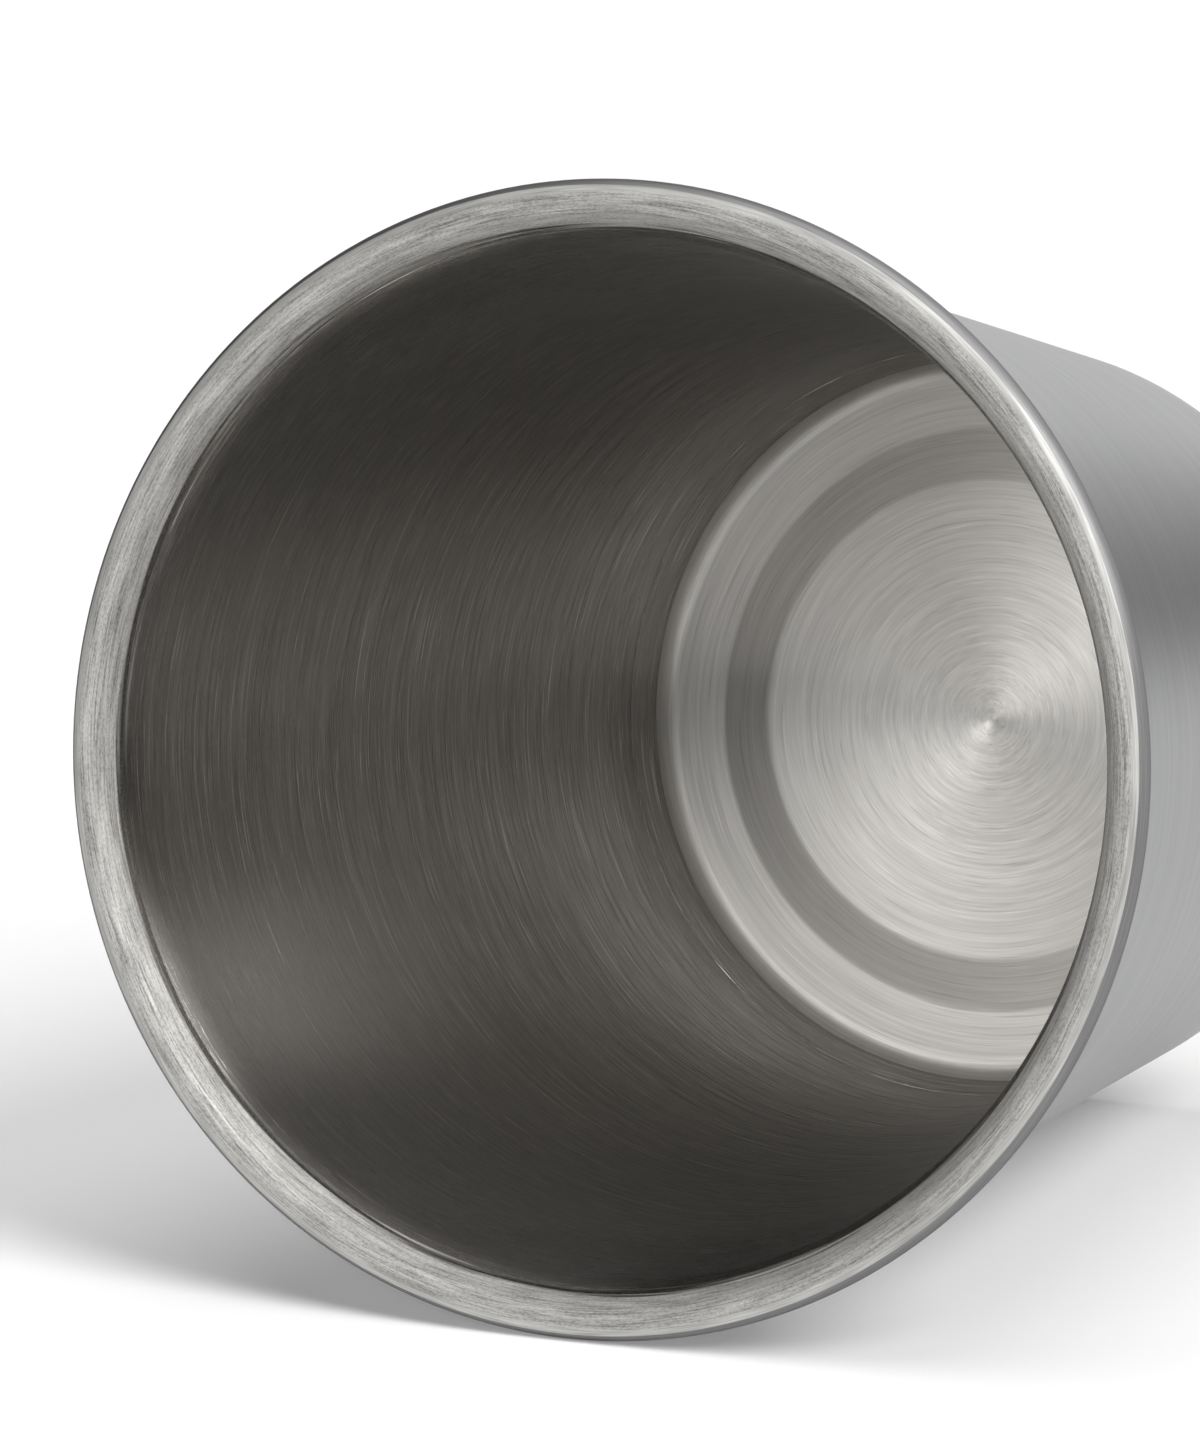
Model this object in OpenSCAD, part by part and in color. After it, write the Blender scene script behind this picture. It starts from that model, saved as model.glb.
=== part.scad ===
// Tapered metal julep cup, standing upright.
// The origin is the middle of the standing face, and +Z is up.
// A tapered sleeve is rolled over a wire at the mouth and turned in at the foot.
// A pressed floor pan is let into the foot, with a skirt that thins out up the wall.

/* [Cup] */
// Height from the standing face to the top of the lip
cup_h = 91.5; // [80:0.5:110]
// Diameter over the rolled lip
mouth_d = 86; // [78:0.5:96]
// Outside diameter of the wall, carried down to the standing face
foot_d = 63.4; // [56:0.2:72]
// Thickness of the sheet that the sleeve and the pan are made of
sheet_t = 0.6; // [0.4:0.05:0.8]

/* [Lip] */
// Outside diameter of the roll
roll_d = 2.8; // [2.4:0.1:3.4]
// How far the roll stands out past the straight wall
roll_overhang = 3.35; // [3:0.05:4.2]
// Inside radius of the flare between the straight wall and the roll
flare_r = 10; // [6:0.5:16]
// Angle that the sheet is rolled through
roll_turn = 290; // [240:5:295]
// Gap between the wire and the sheet rolled round it
wire_gap = 0.05; // [0.02:0.01:0.1]

/* [Foot] */
// Outside radius of the corner between the wall and the hem
foot_corner_r = 2.8; // [2.2:0.1:4]
// Width of the flat hem that is turned in under the pan
hem_w = 2.4; // [1.5:0.1:4]

/* [Floor pan] */
// Gap between the pan and the sleeve, filled by the joint
joint_gap = 0.05; // [0.02:0.01:0.1]
// Height of the skirt's even part over the foot's corner
skirt_even_h = 0.2; // [0.1:0.1:3]
// Height of the slope that thins the skirt towards its upper edge
skirt_slope_h = 3.2; // [0.6:0.1:5]
// Width of the skirt's upper edge after it is thinned
skirt_edge_w = 0.1; // [0.05:0.05:0.3]
// Flat width of the low ring, from the corner to the step
ring_w = 4; // [3:0.1:8]
// Slope of the step between the ring and the raised disc
step_angle = 15; // [12:1:30]
// Height of the raised disc over the low ring
disc_rise = 1.2; // [0.8:0.1:2.4]
// Radius of the sheet where it bends into the step and out of it
step_r = 2; // [0.6:0.1:2.5]
// Diameter of the turning mark in the middle of the disc
mark_d = 2.4; // [1:0.1:4]
// Depth of the turning mark
mark_depth = 0.12; // [0.05:0.01:0.2]

/* [Hidden] */
// Angle between two points on a bend, and the facets of a full turn
bend_step = 6;
turn_fn = 120;

// The straight wall leans out from the foot to the level of the roll
roll_r = roll_d / 2;
roll_centre = [mouth_d / 2 - roll_r, cup_h - roll_r];
foot_radius = foot_d / 2;
wall_top_r = mouth_d / 2 - roll_overhang;
lean = atan((wall_top_r - foot_radius) / roll_centre[1]);
up_wall = [sin(lean), cos(lean)];
off_wall = [cos(lean), -sin(lean)];

// The flare is tangent to the inside of the straight wall and to the roll
inside_foot = [foot_radius, 0] - sheet_t * off_wall;
roll_up = (roll_centre - inside_foot) * up_wall;
roll_off = (roll_centre - inside_foot) * off_wall;
flare_drop = sqrt(pow(flare_r - roll_r, 2) - pow(flare_r - roll_off, 2));
flare_centre = inside_foot + (roll_up - flare_drop) * up_wall + flare_r * off_wall;
to_roll = roll_centre - flare_centre;
flare_end = atan2(to_roll[1], to_roll[0]);

// The foot's corner is tangent to the outside of the wall and to the standing face
corner_centre = [
    foot_radius + foot_corner_r * tan(lean) - foot_corner_r / cos(lean),
    foot_corner_r
];

// The pan nests in the sleeve with the joint's gap between them
pan_drop = sheet_t + joint_gap;
pan_corner_r = foot_corner_r - pan_drop - sheet_t;
ring_h = pan_drop + sheet_t;
disc_h = ring_h + disc_rise;
bends_r = 2 * step_r + sheet_t;
step_run = bends_r * sin(step_angle)
    + (disc_rise - bends_r * (1 - cos(step_angle))) / tan(step_angle);
step_foot_r = corner_centre[0] - ring_w;
step_top_r = step_foot_r - step_run;
skirt_slope_foot_h = foot_corner_r + skirt_even_h;
skirt_top_h = skirt_slope_foot_h + skirt_slope_h;

// Points on a bend round a centre, from one angle to another
function bend(centre, radius, from, to) =
    let (steps = max(2, ceil(abs(to - from) / bend_step)))
    [for (i = [0:steps])
        let (a = from + (to - from) * i / steps)
        centre + radius * [cos(a), sin(a)]];

function backwards(points) = [for (i = [len(points) - 1:-1:0]) points[i]];

// One face of the sleeve's sheet, from the hem up to the end of the roll.
// depth is the way in from the outer face.
function sleeve_face(depth) = concat(
    [[corner_centre[0] - hem_w, depth]],
    bend(corner_centre, foot_corner_r - depth, -90, -lean),
    bend(flare_centre, flare_r - sheet_t + depth, 180 - lean, flare_end),
    bend(roll_centre, roll_r - sheet_t + depth, flare_end, flare_end - roll_turn)
);

// One face of the pan's sheet, from the disc out to the skirt.
// depth is the way down from the upper face.
function pan_face(depth) = concat(
    bend([step_top_r, disc_h - sheet_t - step_r], step_r + sheet_t - depth, 90, 90 - step_angle),
    bend([step_foot_r, ring_h + step_r], step_r + depth, 270 - step_angle, 270),
    bend(corner_centre, pan_corner_r + depth, -90, -lean)
);

// Where the skirt is cut off, at a depth out from its inner face and at a height
function skirt_point(depth, height) =
    let (foot = corner_centre + (pan_corner_r + depth) * off_wall)
    foot + (height - foot[1]) / cos(lean) * up_wall;

// Tapered side wall, with the lip rolled outward and the hem turned inward
module sleeve() {
    color("silver")
    rotate_extrude($fn = turn_fn)
    polygon(concat(sleeve_face(0), backwards(sleeve_face(sheet_t))));
}

// Pressed floor: a raised disc, a step, a low ring on the hem and a skirt
module floor_pan() {
    mark_r = mark_d / 2;
    color("gainsboro")
    rotate_extrude($fn = turn_fn)
    polygon(concat(
        [[0, disc_h - mark_depth], [mark_r, disc_h]],
        pan_face(0),
        [
            skirt_point(0, skirt_slope_foot_h),
            skirt_point(sheet_t - skirt_edge_w, skirt_top_h),
            skirt_point(sheet_t, skirt_top_h)
        ],
        backwards(pan_face(sheet_t)),
        [[mark_r, disc_h - sheet_t], [0, disc_h - mark_depth - sheet_t]]
    ));
}

// Core wire that the lip is rolled round
module rim_wire() {
    color("darkgray")
    rotate_extrude($fn = turn_fn)
    translate(roll_centre)
    circle(r = roll_r - sheet_t - wire_gap, $fn = turn_fn / 2);
}

sleeve();
floor_pan();
rim_wire();
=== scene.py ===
from collections import namedtuple
from math import asin, atan, atan2, cos, pi, radians, sin, sqrt, tan

import bmesh
import bpy
from mathutils import Matrix, Vector


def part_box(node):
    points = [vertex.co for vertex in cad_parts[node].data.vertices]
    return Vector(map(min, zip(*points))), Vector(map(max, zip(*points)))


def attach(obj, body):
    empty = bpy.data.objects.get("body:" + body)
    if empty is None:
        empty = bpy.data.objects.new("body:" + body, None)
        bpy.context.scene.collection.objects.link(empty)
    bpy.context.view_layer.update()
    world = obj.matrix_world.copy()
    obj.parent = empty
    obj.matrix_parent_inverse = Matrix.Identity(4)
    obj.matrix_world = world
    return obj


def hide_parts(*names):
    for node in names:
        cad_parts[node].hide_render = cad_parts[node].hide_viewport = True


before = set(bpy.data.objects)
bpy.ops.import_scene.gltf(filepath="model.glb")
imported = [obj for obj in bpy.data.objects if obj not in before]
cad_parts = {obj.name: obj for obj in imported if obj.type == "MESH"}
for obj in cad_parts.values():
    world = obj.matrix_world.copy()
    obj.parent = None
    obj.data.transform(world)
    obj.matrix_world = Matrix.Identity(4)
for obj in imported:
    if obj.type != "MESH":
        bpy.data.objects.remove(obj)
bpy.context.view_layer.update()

# The sleeve.
# It is the tapered side wall, a blank of stainless sheet seamed into a cone.
# The mouth flares and is rolled outward over a wire, and the foot is turned in to a hem.
_, sleeve_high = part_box("sleeve")
sheet_t = 0.0006
foot_r = 0.0317
foot_corner_r = 0.0028
hem_w = 0.0024
roll_overhang = 0.00335
flare_r = 0.010
roll_turn = radians(290)
lip_band_h = 0.0025
turn_steps = 256
hem_steps = 3
wall_steps = 28
bend_step = radians(4)
fine_bend_step = radians(2)
least_bend_steps = 3
merge_gap = 1e-7

wire_low, wire_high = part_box("rim_wire")
wire_r = (wire_high.z - wire_low.z) / 2
roll_r = sleeve_high.z - (wire_high.z + wire_low.z) / 2
roll_centre = Vector((wire_high.x - wire_r, 0, sleeve_high.z - roll_r))
mouth_r = roll_centre.x + roll_r
lip_foot_h = sleeve_high.z - lip_band_h

lean = atan((mouth_r - roll_overhang - foot_r) / roll_centre.z)
up_wall = Vector((sin(lean), 0, cos(lean)))
off_wall = Vector((cos(lean), 0, -sin(lean)))
inside_foot = Vector((foot_r, 0, 0)) - sheet_t * off_wall
to_roll = roll_centre - inside_foot
flare_drop = sqrt((flare_r - roll_r) ** 2 - (flare_r - to_roll.dot(off_wall)) ** 2)
flare_centre = inside_foot + (to_roll.dot(up_wall) - flare_drop) * up_wall + flare_r * off_wall
flare_foot = flare_centre - (flare_r - sheet_t) * off_wall
from_flare = roll_centre - flare_centre
flare_end = atan2(from_flare.z, from_flare.x)
corner_centre = Vector((foot_r + foot_corner_r * (sin(lean) - 1) / cos(lean), 0, foot_corner_r))


def draw_line(mesh, tip, end, steps=1):
    """Draws a profile on from its tip to a point, and returns the new tip."""
    step = (end - tip.co) / steps
    for _ in range(steps):
        drawn = bmesh.ops.extrude_vert_indiv(mesh, verts=[tip])
        tip = drawn["verts"][0]
        tip.co += step
    return tip


def draw_bend(mesh, tip, centre, angle, step=bend_step):
    """Draws a bend round a centre, and returns the new tip.

    A positive angle turns from +X to +Z.
    """
    steps = max(least_bend_steps, round(abs(angle) / step))
    turned = bmesh.ops.spin(
        mesh, geom=[tip], cent=centre, axis=(0, -1, 0), angle=angle, steps=steps
    )
    return next(g for g in turned["geom_last"] if isinstance(g, bmesh.types.BMVert))


def turn_sheet(mesh, thickness, facing):
    """Turns a profile round the cup's axis and gives the skin its thickness.

    facing is the way that the first faces of the finished skin look, 1 for up and -1 for down.
    """
    bmesh.ops.spin(
        mesh,
        geom=mesh.verts[:] + mesh.edges[:],
        cent=(0, 0, 0),
        axis=(0, 0, 1),
        angle=2 * pi,
        steps=turn_steps,
        use_merge=True,
    )
    bmesh.ops.remove_doubles(mesh, verts=mesh.verts[:], dist=merge_gap)
    bmesh.ops.recalc_face_normals(mesh, faces=mesh.faces[:])
    first = min(mesh.faces, key=lambda face: face.calc_center_median().xy.length)
    if first.normal.z * facing < 0:
        bmesh.ops.reverse_faces(mesh, faces=mesh.faces[:])
    bmesh.ops.solidify(mesh, geom=mesh.faces[:], thickness=thickness)


def make_object(mesh, name, materials):
    """Makes an object of a mesh, with smooth faces, and puts it in the scene."""
    for face in mesh.faces:
        face.smooth = True
    data = bpy.data.meshes.new(name)
    mesh.to_mesh(data)
    mesh.free()
    for material in materials:
        data.materials.append(material)
    new_object = bpy.data.objects.new(name, data)
    bpy.context.scene.collection.objects.link(new_object)
    return new_object


wall_mesh = bmesh.new()
tip = wall_mesh.verts.new((corner_centre.x - hem_w, 0, 0))
tip = draw_line(wall_mesh, tip, Vector((corner_centre.x, 0, 0)), hem_steps)
tip = draw_bend(wall_mesh, tip, corner_centre, pi / 2 - lean)
tip = draw_line(wall_mesh, tip, flare_foot, wall_steps)
tip = draw_bend(wall_mesh, tip, flare_centre, flare_end + lean - pi, fine_bend_step)
tip = draw_bend(wall_mesh, tip, roll_centre, -roll_turn)
turn_sheet(wall_mesh, sheet_t, -1)


def new_group(name, inputs, outputs):
    """Starts a shader node group with float inputs and outputs."""
    group = bpy.data.node_groups.new(name, "ShaderNodeTree")
    for socket, value in inputs:
        entry = group.interface.new_socket(socket, in_out="INPUT", socket_type="NodeSocketFloat")
        entry.default_value = value
    for socket in outputs:
        group.interface.new_socket(socket, in_out="OUTPUT", socket_type="NodeSocketFloat")
    return group, group.nodes.new("NodeGroupInput"), group.nodes.new("NodeGroupOutput")


def maths(tree, operation, *values):
    """Adds a Math node, fed by sockets or plain numbers, and returns its output."""
    node = tree.nodes.new("ShaderNodeMath")
    node.operation = operation
    for socket, value in zip(node.inputs, values):
        if isinstance(value, bpy.types.NodeSocket):
            tree.links.new(value, socket)
        else:
            socket.default_value = value
    return node.outputs[0]


def fade_over(tree, value, first, last, start=0.0, end=1.0):
    """Goes smoothly from start to end while a value goes from first to last."""
    fade = tree.nodes.new("ShaderNodeMapRange")
    fade.interpolation_type = "SMOOTHSTEP"
    fade.inputs["From Min"].default_value = first
    fade.inputs["From Max"].default_value = last
    fade.inputs["To Min"].default_value = start
    fade.inputs["To Max"].default_value = end
    tree.links.new(value, fade.inputs["Value"])
    return fade.outputs[0]


def place_on_object(tree):
    """Returns the place on the object as one vector socket, and as x, y and z."""
    place = tree.nodes.new("ShaderNodeTexCoord").outputs["Object"]
    split = tree.nodes.new("ShaderNodeSeparateXYZ")
    tree.links.new(place, split.inputs[0])
    return place, *split.outputs


# Hairlines run round the cup's axis, as an abrasive belt leaves them on turned sheet.
# Pitch is the width of a line in metres, and Sweep is about how far it runs, in radians.
# The noise between Low and High makes the lines, and they fade out past Inner and Outer.
edge_fade = 0.0003
drift_scale = 30.0
drift_reach = 0.0006
hairlines, given, made = new_group(
    "hairlines",
    [
        ("Pitch", 0.0002),
        ("Sweep", 0.5),
        ("Low", 0.35),
        ("High", 0.65),
        ("Inner", 0.0),
        ("Outer", 1.0),
    ],
    ["Lines"],
)
place, x, y, z = place_on_object(hairlines)
x_squared = maths(hairlines, "MULTIPLY", x, x)
y_squared = maths(hairlines, "MULTIPLY", y, y)
radius = maths(hairlines, "SQRT", maths(hairlines, "ADD", x_squared, y_squared))

wander = hairlines.nodes.new("ShaderNodeTexNoise")
wander.inputs["Scale"].default_value = drift_scale
wander.inputs["Detail"].default_value = 0.0
hairlines.links.new(place, wander.inputs["Vector"])
drift = maths(hairlines, "MULTIPLY", wander.outputs["Fac"], drift_reach)
radius_drifted = maths(hairlines, "ADD", radius, drift)
height_drifted = maths(hairlines, "ADD", z, drift)

reach = maths(hairlines, "MULTIPLY", radius, given.outputs["Sweep"])
round_axis = (
    maths(hairlines, "DIVIDE", x, reach),
    maths(hairlines, "DIVIDE", y, reach),
    maths(hairlines, "DIVIDE", radius_drifted, given.outputs["Pitch"]),
)
along_axis = maths(hairlines, "DIVIDE", height_drifted, given.outputs["Pitch"])
joined = hairlines.nodes.new("ShaderNodeCombineXYZ")
for value, socket in zip(round_axis, joined.inputs):
    hairlines.links.new(value, socket)
noise = hairlines.nodes.new("ShaderNodeTexNoise")
noise.noise_dimensions = "4D"
noise.inputs["Scale"].default_value = 1.0
noise.inputs["Detail"].default_value = 1.0
hairlines.links.new(joined.outputs[0], noise.inputs["Vector"])
hairlines.links.new(along_axis, noise.inputs["W"])
strong = hairlines.nodes.new("ShaderNodeMapRange")
hairlines.links.new(noise.outputs["Fac"], strong.inputs["Value"])
hairlines.links.new(given.outputs["Low"], strong.inputs["From Min"])
hairlines.links.new(given.outputs["High"], strong.inputs["From Max"])

past_inner = maths(hairlines, "SUBTRACT", radius, given.outputs["Inner"])
before_outer = maths(hairlines, "SUBTRACT", given.outputs["Outer"], radius)
within = maths(hairlines, "MINIMUM", past_inner, before_outer)
shown = hairlines.nodes.new("ShaderNodeClamp")
hairlines.links.new(maths(hairlines, "DIVIDE", within, edge_fade), shown.inputs[0])
hairlines.links.new(
    maths(hairlines, "MULTIPLY", strong.outputs[0], shown.outputs[0]), made.inputs["Lines"]
)

# The lip is linished after it is rolled, and the belt stops at a ragged edge inside the mouth.
# Share is 0 on the brushed wall and 1 on the linished lip. The lip's rougher finish is real, and
# its lighter colour is painted light on the rim of the mouth.
edge_blur = 0.0005
ragged_pitch = 0.0003
ragged_sweep = 0.35
lip_finish, _, made = new_group("lip_finish", [], ["Share"])
_, _, _, height = place_on_object(lip_finish)
ragged = lip_finish.nodes.new("ShaderNodeGroup")
ragged.node_tree = hairlines
ragged.inputs["Pitch"].default_value = ragged_pitch
ragged.inputs["Sweep"].default_value = ragged_sweep
stop = maths(lip_finish, "MULTIPLY_ADD", ragged.outputs["Lines"], 2 * edge_blur, lip_foot_h)
past_stop = maths(lip_finish, "SUBTRACT", height, stop)
lip_finish.links.new(
    fade_over(lip_finish, past_stop, -edge_blur, edge_blur), made.inputs["Share"]
)

# One set of hairlines: its share of the tone, below 0 for dark lines, and the group's values.
Lines = namedtuple(
    "Lines", "share pitch sweep low high inner outer", defaults=(0.35, 0.65, 0.0, 1.0)
)
roughness_drop = 0.1


def across_lines(tree):
    """Returns the direction in the surface that runs across the hairlines."""
    _, x, y, _ = place_on_object(tree)
    along = tree.nodes.new("ShaderNodeCombineXYZ")
    tree.links.new(maths(tree, "MULTIPLY", y, -1.0), along.inputs[0])
    tree.links.new(x, along.inputs[1])
    normal = tree.nodes.new("ShaderNodeNewGeometry")
    across = tree.nodes.new("ShaderNodeVectorMath")
    across.operation = "CROSS_PRODUCT"
    tree.links.new(normal.outputs["Normal"], across.inputs[0])
    tree.links.new(along.outputs[0], across.inputs[1])
    return across.outputs[0]


def tone_of_lines(tree, line_sets):
    """Returns the tone that sets of hairlines add to a surface, 0 between the lines."""
    tone = 0.0
    for line_set in line_sets:
        lines = tree.nodes.new("ShaderNodeGroup")
        lines.node_tree = hairlines
        for socket, value in zip(lines.inputs, line_set[1:]):
            socket.default_value = value
        added = maths(tree, "MULTIPLY", lines.outputs["Lines"], line_set.share)
        tone = maths(tree, "ADD", added, tone)
    return tone


def brushed_steel(name, colour, roughness, anisotropy, line_sets, depth, lip=None):
    """Stainless steel with hairlines round the axis, depth metres deep.

    The gloss is spread across the hairlines. A light line is smoother than its ground, and a
    dark one is rougher.
    lip is the colour and roughness past the ragged edge of the lip's finish, where there is one.
    """
    material = bpy.data.materials.new(name)
    material.use_nodes = True
    tree = material.node_tree
    steel = tree.nodes["Principled BSDF"]
    steel.inputs["Metallic"].default_value = 1.0
    steel.inputs["Anisotropic"].default_value = anisotropy
    tree.links.new(across_lines(tree), steel.inputs["Tangent"])

    tone = tone_of_lines(tree, line_sets)
    tint = tree.nodes.new("ShaderNodeMix")
    tint.data_type = "RGBA"
    tint.inputs["Factor"].default_value = 0.0
    tint.inputs["A"].default_value = (*colour, 1)
    grain = tree.nodes.new("ShaderNodeMapRange")
    grain.inputs["Value"].default_value = 0.0
    grain.inputs["To Min"].default_value = roughness
    if lip:
        lip_colour, lip_roughness = lip
        tint.inputs["B"].default_value = (*lip_colour, 1)
        grain.inputs["To Max"].default_value = lip_roughness
        finish = tree.nodes.new("ShaderNodeGroup")
        finish.node_tree = lip_finish
        tree.links.new(finish.outputs["Share"], tint.inputs["Factor"])
        tree.links.new(finish.outputs["Share"], grain.inputs["Value"])
    shade = tree.nodes.new("ShaderNodeVectorMath")
    shade.operation = "SCALE"
    tree.links.new(tint.outputs["Result"], shade.inputs[0])
    tree.links.new(maths(tree, "ADD", tone, 1.0), shade.inputs["Scale"])
    tree.links.new(shade.outputs[0], steel.inputs["Base Color"])
    smoother = maths(tree, "MULTIPLY", tone, roughness_drop)
    tree.links.new(
        maths(tree, "SUBTRACT", grain.outputs[0], smoother), steel.inputs["Roughness"]
    )
    bump = tree.nodes.new("ShaderNodeBump")
    bump.inputs["Distance"].default_value = depth
    tree.links.new(tone, bump.inputs["Height"])
    tree.links.new(bump.outputs[0], steel.inputs["Normal"])
    return material


def darken_edges(material, tint):
    """Darkens a metal where it is seen at a grazing angle."""
    steel = material.node_tree.nodes["Principled BSDF"]
    steel.inputs["Specular Tint"].default_value = (tint, tint, tint, 1)


satin_outside = brushed_steel(
    "satin_outside",
    colour=(0.287, 0.288, 0.290),
    roughness=0.38,
    anisotropy=0.3,
    line_sets=[Lines(0.12, 0.00012, 0.3), Lines(0.08, 0.0012, 0.8)],
    depth=0.000006,
)
# Painted shade: the inside's steel is darker in colour than the lip's and the floor pan's, for
# the shade deep inside the cup.
shaded_inside_colour = (0.31, 0.297, 0.28)
inside_roughness = 0.28
# The lip's lighter colour is painted light on the rim of the mouth; its rougher finish is real.
lip_look = ((0.42, 0.415, 0.40), 0.72)
brushed_inside = brushed_steel(
    "brushed_inside",
    colour=shaded_inside_colour,
    roughness=inside_roughness,
    anisotropy=0.95,
    line_sets=[
        Lines(0.38, 0.00008, 0.13),
        Lines(0.14, 0.00035, 0.40),
        Lines(1.10, 0.00009, 0.18, low=0.60, high=0.70),
        Lines(1.40, 0.00012, 0.70, low=0.66, high=0.74),
        Lines(-0.08, 0.0016, 1.2),
    ],
    depth=0.000006,
    lip=lip_look,
)
darken_edges(brushed_inside, 0.6)

# Short pits and longer scratches darken the lip, between two distances in from its edge.
pits_inner_in, pits_outer_in = 0.0040, 0.0008
scratches_inner_in, scratches_outer_in = 0.0044, 0.0010
linished_lip = brushed_steel(
    "linished_lip",
    colour=shaded_inside_colour,
    roughness=inside_roughness,
    anisotropy=0.3,
    line_sets=[
        Lines(0.35, 0.00009, 0.08),
        Lines(0.25, 0.0005, 0.12),
        Lines(
            -0.26, 0.00010, 0.006, low=0.46, high=0.62,
            inner=mouth_r - pits_inner_in, outer=mouth_r - pits_outer_in,
        ),
        Lines(
            -0.28, 0.00016, 0.10, low=0.50, high=0.66,
            inner=mouth_r - scratches_inner_in, outer=mouth_r - scratches_outer_in,
        ),
    ],
    depth=0.000005,
    lip=lip_look,
)
# Painted shade: the roll's outer side has a dark colour, which draws its dark outline at grazing
# angles.
painted_dark_roll = brushed_steel(
    "painted_dark_roll",
    colour=(0.23, 0.23, 0.23),
    roughness=0.55,
    anisotropy=0.3,
    line_sets=[Lines(0.2, 0.00010, 0.15)],
    depth=0.000004,
)
darken_edges(painted_dark_roll, 0.35)

# The roll's outer side, where its faces look outward by more than roll_side, is rougher and
# painted darker: painted shade that draws the roll's dark outline where it is seen edge-on.
roll_side = 0.65
outside_slot, inside_slot, lip_slot, roll_slot = range(4)
for face in wall_mesh.faces:
    centre = face.calc_center_median()
    outward = Vector((centre.x, centre.y, 0)).normalized().dot(face.normal)
    in_lip = centre.xy.length > roll_centre.x - roll_r or outward < 0
    if centre.z > lip_foot_h and in_lip:
        on_side = centre.xy.length > roll_centre.x and outward > roll_side
        face.material_index = roll_slot if on_side else lip_slot
    else:
        face.material_index = outside_slot if outward > face.normal.z else inside_slot
sleeve = make_object(
    wall_mesh, "sleeve_sheet", [satin_outside, brushed_inside, linished_lip, painted_dark_roll]
)
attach(sleeve, "root")
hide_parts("sleeve")

# The floor pan.
# It is pressed from the same sheet and let into the foot, where its skirt is brazed to the wall.
# Turning marks ring its raised disc, down to the mark of the lathe's centre.
joint_gap = 0.00005
skirt_even_h = 0.0002
skirt_slope_h = 0.0032
ring_w = 0.004
step_angle = radians(15)
disc_rise = 0.0012
step_r = 0.002
mark_r = 0.0012
mark_depth = 0.00012
mark_steps = 3
disc_steps = 12
slope_steps = 3
ring_steps = 6
skirt_steps = 8

pan_corner_r = foot_corner_r - 2 * sheet_t - joint_gap
ring_h = 2 * sheet_t + joint_gap
disc_h = ring_h + disc_rise
bends_r = 2 * step_r + sheet_t
step_run = bends_r * sin(step_angle)
step_run += (disc_rise - bends_r * (1 - cos(step_angle))) / tan(step_angle)
step_foot = Vector((corner_centre.x - ring_w, 0, ring_h + step_r))
step_top = Vector((step_foot.x - step_run, 0, disc_h - sheet_t - step_r))
slope_end = step_foot - step_r * Vector((sin(step_angle), 0, cos(step_angle)))
skirt_foot = corner_centre + pan_corner_r * off_wall
skirt_foot += (foot_corner_r + skirt_even_h - skirt_foot.z) / cos(lean) * up_wall
skirt_top = skirt_foot + skirt_slope_h / cos(lean) * up_wall

pan_mesh = bmesh.new()
tip = pan_mesh.verts.new((0, 0, disc_h - mark_depth))
tip = draw_line(pan_mesh, tip, Vector((mark_r, 0, disc_h)), mark_steps)
tip = draw_line(pan_mesh, tip, Vector((step_top.x, 0, disc_h)), disc_steps)
tip = draw_bend(pan_mesh, tip, step_top, -step_angle, fine_bend_step)
tip = draw_line(pan_mesh, tip, slope_end, slope_steps)
tip = draw_bend(pan_mesh, tip, step_foot, step_angle, fine_bend_step)
tip = draw_line(pan_mesh, tip, Vector((corner_centre.x, 0, ring_h)), ring_steps)
tip = draw_bend(pan_mesh, tip, corner_centre, pi / 2 - lean)
tip = draw_line(pan_mesh, tip, skirt_foot)
tip = draw_line(pan_mesh, tip, skirt_top, skirt_steps)
turn_sheet(pan_mesh, sheet_t, 1)

# The skirt's inner face is ground away as it rises, until it meets the wall.
thinned = sheet_t + joint_gap
slope_start_share = 0.01
for vert in pan_mesh.verts:
    height = vert.co.z - skirt_foot.z
    slope_share = height / skirt_slope_h
    outward = Vector((vert.co.x, vert.co.y, 0)).normalized()
    from_inner = vert.co.dot(outward) - skirt_foot.x - height * tan(lean)
    if slope_share > slope_start_share and from_inner < sheet_t / 2:
        vert.co += outward * min(slope_share, 1) * thinned

# Painted light: the pan's steel is lighter in colour than the wall's, for the light that falls
# through the mouth onto the floor.
turned_floor = brushed_steel(
    "turned_floor",
    colour=(0.565, 0.55, 0.527),
    roughness=0.38,
    anisotropy=0.93,
    line_sets=[
        Lines(0.14, 0.00010, 0.4),
        Lines(0.10, 0.00050, 0.9),
        Lines(0.16, 0.00010, 0.25, low=0.62, high=0.72),
        Lines(-0.16, 0.00016, 0.3, low=0.60, high=0.72),
    ],
    depth=0.000006,
)
floor_slot, skirt_slot = range(2)
for face in pan_mesh.faces:
    on_skirt = face.calc_center_median().z > foot_corner_r
    face.material_index = skirt_slot if on_skirt else floor_slot
floor_pan = make_object(pan_mesh, "floor_pressing", [turned_floor, brushed_inside])
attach(floor_pan, "root")
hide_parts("floor_pan")

# The rim wire.
# It is drawn stainless wire, bent to a ring, and hidden in the roll of the lip.
drawn_wire = brushed_steel(
    "drawn_wire",
    colour=(0.5, 0.5, 0.5),
    roughness=0.4,
    anisotropy=0.5,
    line_sets=[Lines(0.2, 0.0001, 1.0)],
    depth=0.000006,
)
for material_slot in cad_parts["rim_wire"].material_slots:
    material_slot.material = drawn_wire

# The studio's paper floor.
# The cup lies on its side on white paper, on the roll of the lip and the foot's corner.
# From below, the paper is clear to the camera.
contact_turn = radians(266.2)
floor_half = 3.0
paper_colour = (0.8, 0.8, 0.8, 1)
paper_glow = 0.20

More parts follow.
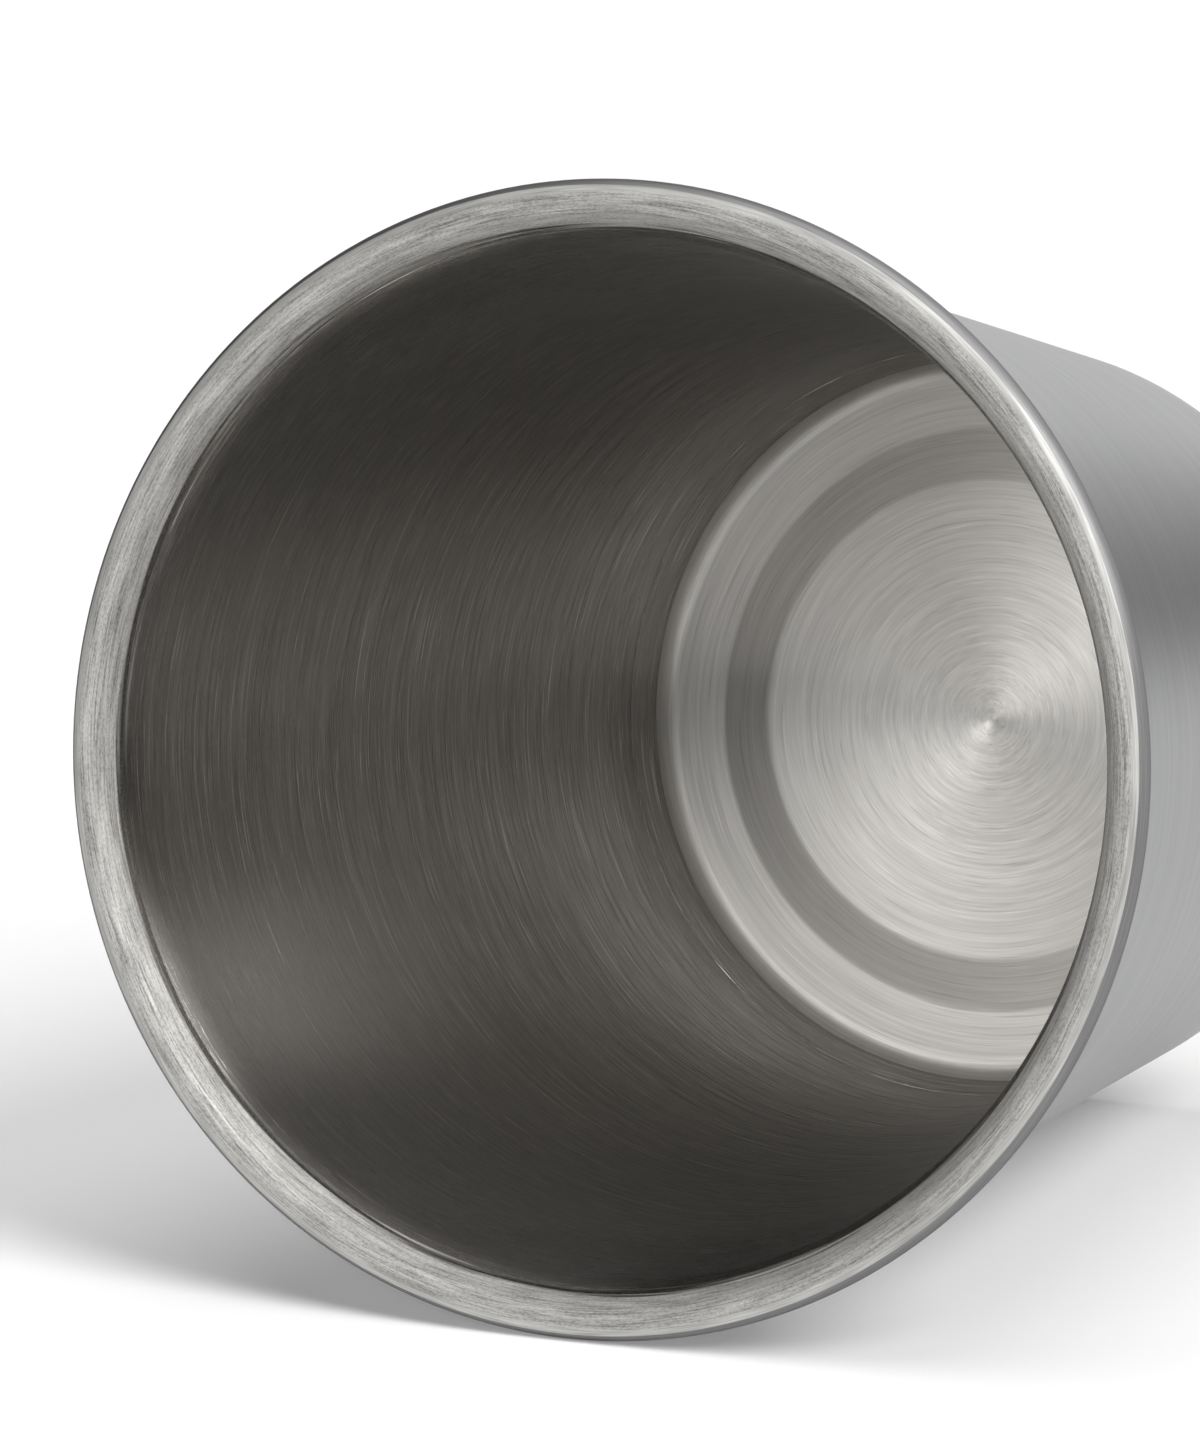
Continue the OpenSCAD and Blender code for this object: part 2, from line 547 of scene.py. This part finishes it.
roll_to_corner = roll_centre - corner_centre
floor_lean = (
    pi / 2
    - atan2(roll_to_corner.z, roll_to_corner.x)
    - asin((foot_corner_r - roll_r) / roll_to_corner.length)
)
down = Vector((
    cos(contact_turn) * cos(floor_lean),
    sin(contact_turn) * cos(floor_lean),
    -sin(floor_lean),
))
touch = corner_centre.x * cos(floor_lean) - corner_centre.z * sin(floor_lean) + foot_corner_r
face_up = (-down).to_track_quat("Z", "Y").to_matrix().to_4x4()


def matt_material(name, colour):
    """Starts a matt material, and returns it with its node tree, its surface and light path."""
    material = bpy.data.materials.new(name)
    material.use_nodes = True
    tree = material.node_tree
    tree.nodes.clear()
    matt = tree.nodes.new("ShaderNodeBsdfDiffuse")
    matt.inputs["Color"].default_value = colour
    return material, tree, matt, tree.nodes.new("ShaderNodeLightPath")


def hide_where(tree, surface, hidden):
    """Ends a material in a surface that is clear where hidden is 1."""
    clear = tree.nodes.new("ShaderNodeBsdfTransparent")
    cut = tree.nodes.new("ShaderNodeMixShader")
    tree.links.new(hidden, cut.inputs[0])
    tree.links.new(surface.outputs[0], cut.inputs[1])
    tree.links.new(clear.outputs[0], cut.inputs[2])
    out = tree.nodes.new("ShaderNodeOutputMaterial")
    tree.links.new(cut.outputs[0], out.inputs["Surface"])


paper_white, tree, matt, path = matt_material("paper_white", paper_colour)
seen = maths(tree, "MAXIMUM", path.outputs["Is Camera Ray"], path.outputs["Is Glossy Ray"])
seen = maths(tree, "MAXIMUM", seen, path.outputs["Is Transmission Ray"])
glow = tree.nodes.new("ShaderNodeEmission")
tree.links.new(maths(tree, "MULTIPLY", seen, paper_glow), glow.inputs["Strength"])
lit = tree.nodes.new("ShaderNodeAddShader")
tree.links.new(matt.outputs[0], lit.inputs[0])
tree.links.new(glow.outputs[0], lit.inputs[1])
side = tree.nodes.new("ShaderNodeNewGeometry")
hide_where(
    tree, lit, maths(tree, "MULTIPLY", side.outputs["Backfacing"], path.outputs["Is Camera Ray"])
)

paper = bmesh.new()
bmesh.ops.create_grid(
    paper,
    x_segments=1,
    y_segments=1,
    size=floor_half,
    matrix=Matrix.Translation(down * touch) @ face_up,
)
floor = make_object(paper, "paper_floor", [paper_white])

# The studio's grey card.
# It stands behind the cup on the right, and only its mirror image is seen.
# The outside of the wall mirrors it, which gives the round of the wall its darker side.
card_centre = (0.25, -0.025, -0.8)
card_half_w = 0.25
card_half_h = 0.275
card_colour = (0.1, 0.1, 0.1, 1)

card_grey, tree, matt, path = matt_material("card_grey", card_colour)
hide_where(tree, matt, path.outputs["Is Camera Ray"])
card = bmesh.new()
bmesh.ops.create_grid(
    card,
    x_segments=1,
    y_segments=1,
    size=1,
    matrix=Matrix.Translation(card_centre) @ Matrix.Diagonal((card_half_w, card_half_h, 1, 1)),
)
grey_card = make_object(card, "grey_card", [card_grey])

# The studio's room and lights.
# The camera sees white all round. The metal mirrors white behind the cup and dark in front of it.
# A dim patch at the upper left, which only the metal mirrors, draws the roll's dark outline.
white = (1, 1, 1, 1)
white_from, dark_from = -0.15, 0.35
dark_strength = 0.02
patch_toward = (-0.8, 0.6, 0.0)
patch_from, patch_to = 0.40, 0.52
patch_strength = 0.05

world = bpy.data.worlds.new("studio")
bpy.context.scene.world = world
world.use_nodes = True
tree = world.node_tree
room = tree.nodes["Background"]
room.inputs["Color"].default_value = white
aim = tree.nodes.new("ShaderNodeTexCoord")
split = tree.nodes.new("ShaderNodeSeparateXYZ")
tree.links.new(aim.outputs["Generated"], split.inputs[0])
front = fade_over(tree, split.outputs[2], white_from, dark_from, 1.0, dark_strength)
toward = tree.nodes.new("ShaderNodeVectorMath")
toward.operation = "DOT_PRODUCT"
toward.inputs[1].default_value = patch_toward
tree.links.new(aim.outputs["Generated"], toward.inputs[0])
patch = fade_over(tree, toward.outputs["Value"], patch_from, patch_to, 1.0, patch_strength)
path = tree.nodes.new("ShaderNodeLightPath")
mirrored = maths(
    tree, "MAXIMUM", path.outputs["Is Glossy Ray"], path.outputs["Is Transmission Ray"]
)
mirrored = maths(tree, "MULTIPLY", mirrored, maths(tree, "MULTIPLY", front, patch))
tree.links.new(
    maths(tree, "MAXIMUM", path.outputs["Is Camera Ray"], mirrored), room.inputs["Strength"]
)


def add_light(name, toward, width, irradiance):
    """Adds a soft distant light. toward points to it from the cup, and width is its angle."""
    lamp = bpy.data.lights.new(name, "SUN")
    lamp.angle = width
    lamp.energy = irradiance
    light = bpy.data.objects.new(name, lamp)
    bpy.context.scene.collection.objects.link(light)
    light.rotation_mode = "QUATERNION"
    light.rotation_quaternion = Vector(toward).to_track_quat("Z", "Y")


add_light("front_light", toward=(-0.16, 0.22, 0.96), width=radians(36), irradiance=0.82)
add_light("right_light", toward=(0.71, 0.55, 0.41), width=radians(30), irradiance=2.4)
add_light("top_light", toward=(0.08, 0.97, 0.20), width=radians(54), irradiance=1.45)

# The camera.
# It looks into the mouth with a long lens, turned off the cup's axis and rolled a little.
view_turn = radians(4.82)
view_tilt = radians(22.61)
view_roll = radians(-5.21)
view_distance = 0.5456
aim_right = 0.00027
aim_up = 0.00305
focal_mm = 184.47
film_mm = 36
near_clip = 0.01

turned = (
    Matrix.Rotation(view_turn, 3, "Z")
    @ Matrix.Rotation(view_tilt, 3, "Y")
    @ Matrix.Rotation(view_roll, 3, "Z")
)
camera_data = bpy.data.cameras.new("camera")
camera_data.lens = focal_mm
camera_data.sensor_width = film_mm
camera_data.clip_start = near_clip
camera = bpy.data.objects.new("camera", camera_data)
bpy.context.scene.collection.objects.link(camera)
camera.rotation_mode = "QUATERNION"
camera.rotation_quaternion = turned.to_quaternion()
camera.location = Vector((0, 0, roll_centre.z)) + turned @ Vector(
    (aim_right, aim_up, view_distance)
)
bpy.context.scene.camera = camera
bpy.context.scene.view_settings.view_transform = "Standard"
